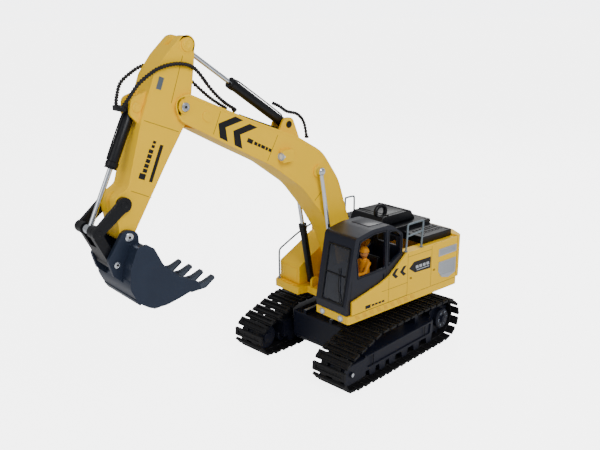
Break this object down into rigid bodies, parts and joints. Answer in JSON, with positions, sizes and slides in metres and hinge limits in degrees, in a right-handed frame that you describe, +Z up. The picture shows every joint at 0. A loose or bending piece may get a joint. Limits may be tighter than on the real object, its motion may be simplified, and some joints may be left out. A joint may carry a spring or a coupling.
{
  "type": "toy crawler excavator",
  "caption": "Toy crawler excavator: a slewing house with cab on two tracks, with a boom, an arm and a toothed bucket worked by model hydraulic cylinders and a tipping linkage.",
  "frame": {"origin": "on the ground plane under the middle of the whole machine's bounding box, with the boom pointing forward", "axes": "+X from the house towards the bucket, +Y towards the cab side (the machine's left), +Z up; the tracks are turned 5.3 degrees from +X"},
  "size_m": [0.4436, 0.1909, 0.3692],
  "materials": {
    "yellow_plastic": "satin",
    "black_plastic": "satin",
    "navy_plastic": "satin",
    "cab_plastic": "satin",
    "track_rubber": "matte",
    "hose_rubber": "satin",
    "bright_metal": "polished",
    "grey_rail": "satin",
    "bucket_metal": "satin",
    "clear_window": "gloss",
    "lamp_lens": "gloss",
    "figure_orange": "matte",
    "board_green": "satin",
    "battery_wrap": "satin"
  },
  "bodies": {
    "undercarriage": {"carbody": "navy_plastic", "battery_hatch": "navy_plastic", "battery_pack": "battery_wrap", "slew_ring_lower": "bright_metal", "track_frame_left": "navy_plastic", "track_frame_right": "navy_plastic", "idler_cover_left": "navy_plastic", "idler_cover_right": "navy_plastic", "track_left": "track_rubber", "track_right": "track_rubber", "drive_motor_left": "navy_plastic", "drive_motor_right": "navy_plastic"},
    "sprocket_left": {"drive_sprocket_left": "navy_plastic"},
    "sprocket_right": {"drive_sprocket_right": "navy_plastic"},
    "idler_left": {"front_idler_left": "navy_plastic"},
    "idler_right": {"front_idler_right": "navy_plastic"},
    "house": {"slew_ring_upper": "bright_metal", "deck": "yellow_plastic", "side_panel_left": "yellow_plastic", "side_panel_right": "yellow_plastic", "counterweight": "yellow_plastic", "engine_hood": "black_plastic", "air_intake_box": "black_plastic", "lifting_loop": "black_plastic", "tool_box": "yellow_plastic", "cab_shell": "cab_plastic", "windshield": "clear_window", "driver_seat": "black_plastic", "driver": "figure_orange", "headlight_left": "lamp_lens", "headlight_right": "lamp_lens", "handrail_left": "grey_rail", "handrail_middle": "grey_rail", "handrail_right": "grey_rail", "circuit_board": "board_green", "slew_motor": "bright_metal", "loudspeaker": "black_plastic", "boom_foot_pin": "bright_metal"},
    "boom": {"boom": "yellow_plastic", "work_light": "yellow_plastic", "work_light_lens": "lamp_lens", "boom_hose_line": "hose_rubber", "arm_pin": "bright_metal", "lift_hose": "hose_rubber"},
    "boom_barrel_left": {"boom_cylinder_barrel_left": "black_plastic"},
    "boom_rod_left": {"boom_cylinder_rod_left": "bright_metal"},
    "boom_barrel_right": {"boom_cylinder_barrel_right": "black_plastic"},
    "boom_rod_right": {"boom_cylinder_rod_right": "bright_metal"},
    "arm": {"arm": "yellow_plastic", "arm_hose_left": "hose_rubber", "arm_hose_right": "hose_rubber"},
    "arm_barrel": {"arm_cylinder_barrel": "black_plastic"},
    "arm_rod": {"arm_cylinder_rod": "bright_metal"},
    "bucket_barrel": {"bucket_cylinder_barrel": "black_plastic"},
    "bucket_rod": {"bucket_cylinder_rod": "bright_metal"},
    "links": {"tipping_link_left": "black_plastic", "tipping_link_right": "black_plastic"},
    "h_link": {"h_link": "black_plastic"},
    "bucket": {"bucket": "bucket_metal", "bucket_pin": "bright_metal"}
  },
  "joints": [
    {"name": "house_slew", "type": "hinge", "parent": "undercarriage", "child": "house", "pos_m": [-0.10076, 0, 0.066], "axis": [0, 0, 1], "continuous": true},
    {"name": "sprocket_left_spin", "type": "hinge", "parent": "undercarriage", "child": "sprocket_left", "pos_m": [-0.1909, 0.05471, 0.0273], "axis": [-0.0924, 0.9957, 0], "continuous": true},
    {"name": "idler_left_spin", "type": "hinge", "parent": "undercarriage", "child": "idler_left", "pos_m": [-0.01645, 0.07089, 0.0216], "axis": [-0.0924, 0.9957, 0], "continuous": true},
    {"name": "sprocket_right_spin", "type": "hinge", "parent": "undercarriage", "child": "sprocket_right", "pos_m": [-0.1793, -0.07036, 0.0273], "axis": [-0.0924, 0.9957, 0], "continuous": true},
    {"name": "idler_right_spin", "type": "hinge", "parent": "undercarriage", "child": "idler_right", "pos_m": [-0.00485, -0.05417, 0.0216], "axis": [-0.0924, 0.9957, 0], "continuous": true},
    {"name": "boom_lift", "type": "hinge", "parent": "house", "child": "boom", "pos_m": [-0.09276, 0, 0.098], "axis": [0, 1, 0], "range_deg": [-5, 40]},
    {"name": "boom_barrel_left_swing", "type": "hinge", "parent": "house", "child": "boom_barrel_left", "pos_m": [-0.05876, 0.0222, 0.086], "axis": [0, 1, 0], "range_deg": [-5.68, 41.93]},
    {"name": "boom_rod_left_slide", "type": "slide", "parent": "boom_barrel_left", "child": "boom_rod_left", "axis": [0.1746, 0, 0.9846], "range_m": [-0.02493, 0.00355]},
    {"name": "boom_barrel_right_swing", "type": "hinge", "parent": "house", "child": "boom_barrel_right", "pos_m": [-0.05876, -0.0222, 0.086], "axis": [0, 1, 0], "range_deg": [-5.68, 41.93]},
    {"name": "boom_rod_right_slide", "type": "slide", "parent": "boom_barrel_right", "child": "boom_rod_right", "axis": [0.1746, 0, 0.9846], "range_m": [-0.02493, 0.00355]},
    {"name": "arm_swing", "type": "hinge", "parent": "boom", "child": "arm", "pos_m": [0.12524, 0, 0.308], "axis": [0, 1, 0], "range_deg": [-15, 30], "deforming": ["arm_hose_left", "arm_hose_right"]},
    {"name": "arm_barrel_swing", "type": "hinge", "parent": "boom", "child": "arm_barrel", "pos_m": [-0.00226, 0, 0.2785], "axis": [0, 1, 0], "range_deg": [-3.32, 6.14]},
    {"name": "arm_rod_slide", "type": "slide", "parent": "arm_barrel", "child": "arm_rod", "axis": [0.8205, 0, 0.5716], "range_m": [-0.01241, 0.02433]},
    {"name": "bucket_curl", "type": "hinge", "parent": "arm", "child": "bucket", "pos_m": [0.18854, 0, 0.2004], "axis": [0, 1, 0], "range_deg": [-40, 30]},
    {"name": "link_swing", "type": "hinge", "parent": "arm", "child": "links", "pos_m": [0.19024, 0, 0.2296], "axis": [0, 1, 0], "range_deg": [-28.17, 21.25]},
    {"name": "h_link_swing", "type": "hinge", "parent": "links", "child": "h_link", "pos_m": [0.21624, 0, 0.209], "axis": [0, 1, 0], "range_deg": [-13.55, 17.9]},
    {"name": "bucket_barrel_swing", "type": "hinge", "parent": "arm", "child": "bucket_barrel", "pos_m": [0.16744, 0, 0.3105], "axis": [0, 1, 0], "range_deg": [-7.65, 5.86]},
    {"name": "bucket_rod_slide", "type": "slide", "parent": "bucket_barrel", "child": "bucket_rod", "axis": [0.4333, 0, -0.9012], "range_m": [-0.00816, 0.00624]}
  ],
  "couplings": [
    {"joint": "idler_left_spin", "follows": "sprocket_left_spin", "ratio": 1.4671},
    {"joint": "idler_right_spin", "follows": "sprocket_right_spin", "ratio": 1.4671},
    {"joint": "boom_barrel_left_swing", "follows": "boom_lift", "ratio": 1.0358},
    {"joint": "boom_rod_left_slide", "follows": "boom_lift", "m_per_rad": -0.034989},
    {"joint": "boom_barrel_right_swing", "follows": "boom_lift", "ratio": 1.0358},
    {"joint": "boom_rod_right_slide", "follows": "boom_lift", "m_per_rad": -0.034989},
    {"joint": "arm_barrel_swing", "follows": "arm_swing", "ratio": 0.188},
    {"joint": "arm_rod_slide", "follows": "arm_swing", "m_per_rad": 0.04551},
    {"joint": "link_swing", "follows": "bucket_curl", "ratio": 0.6918},
    {"joint": "h_link_swing", "follows": "bucket_curl", "ratio": -0.4351},
    {"joint": "bucket_barrel_swing", "follows": "bucket_curl", "ratio": 0.1788},
    {"joint": "bucket_rod_slide", "follows": "bucket_curl", "m_per_rad": 0.010965}
  ]
}
